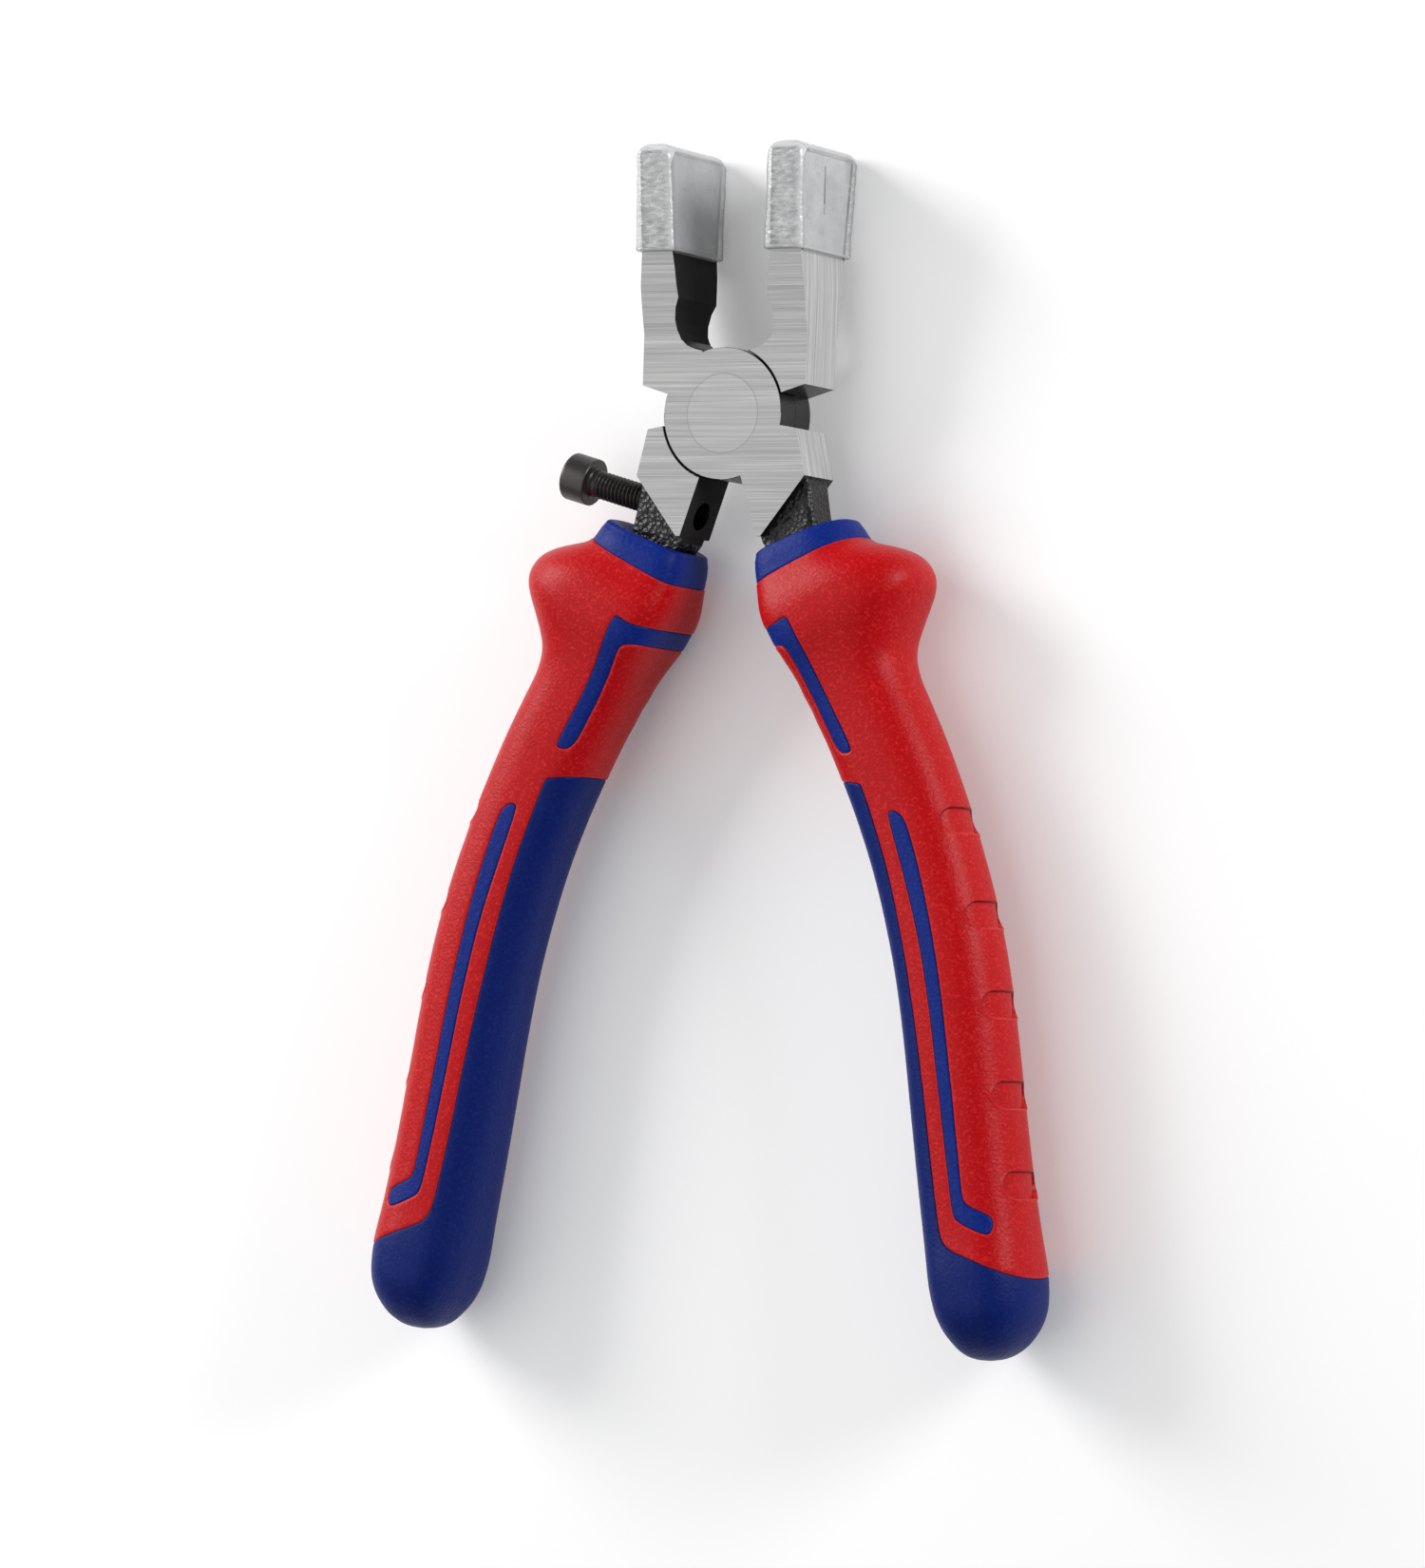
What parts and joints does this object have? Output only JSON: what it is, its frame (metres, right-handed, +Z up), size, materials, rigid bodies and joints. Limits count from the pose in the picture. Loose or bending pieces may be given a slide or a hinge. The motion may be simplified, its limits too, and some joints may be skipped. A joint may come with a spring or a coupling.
{
  "type": "glass running pliers",
  "caption": "Lap-joint pliers with wide soft-capped jaws, a stop screw through one shank and two-material curved grips, for running scored glass.",
  "frame": {"origin": "middle of the tool's outline in plan, on the surface it lies on", "axes": "+Z up, out of the tool's front face as it lies on its back; +Y along the tool from the handles to the jaws; +X to the right as seen from the front"},
  "size_m": [0.1304, 0.2098, 0.0226],
  "materials": {
    "forged_steel": "ground and brushed working faces, black pebbled forged flanks",
    "rivet_steel": "ground flush, fine satin",
    "black_oxide_steel": "black oxide, semi-gloss",
    "clear_vinyl": "soft translucent dipped vinyl, semi-gloss",
    "red_plastic": "hard moulded plastic with a fine satin grain",
    "blue_soft_plastic": "soft-touch moulded elastomer, matte"
  },
  "bodies": {
    "front_half": {"front_lever": "forged_steel", "pivot_rivet": "rivet_steel", "left_jaw_cap": "clear_vinyl", "right_grip_shell": "red_plastic", "right_grip_collar": "blue_soft_plastic", "right_grip_upper_inlay": "blue_soft_plastic", "right_grip_front_stripe": "blue_soft_plastic", "right_grip_back_stripe": "blue_soft_plastic", "right_grip_pad_and_heel": "blue_soft_plastic"},
    "rear_half": {"rear_lever": "forged_steel", "right_jaw_cap": "clear_vinyl", "left_grip_shell": "red_plastic", "left_grip_collar": "blue_soft_plastic", "left_grip_upper_inlay": "blue_soft_plastic", "left_grip_front_stripe": "blue_soft_plastic", "left_grip_back_stripe": "blue_soft_plastic", "left_grip_pad_and_heel": "blue_soft_plastic"},
    "screw": {"stop_screw": "black_oxide_steel"}
  },
  "joints": [
    {"name": "jaw_pivot", "type": "hinge", "parent": "front_half", "child": "rear_half", "pos_m": [0, 0.0577, 0.01133], "axis": [0, 0, 1], "range_deg": [-26, 22.9]},
    {"name": "screw_travel", "type": "slide", "parent": "rear_half", "child": "screw", "axis": [0.9636, -0.2672, 0], "range_m": [-0.005, 0.004]}
  ]
}
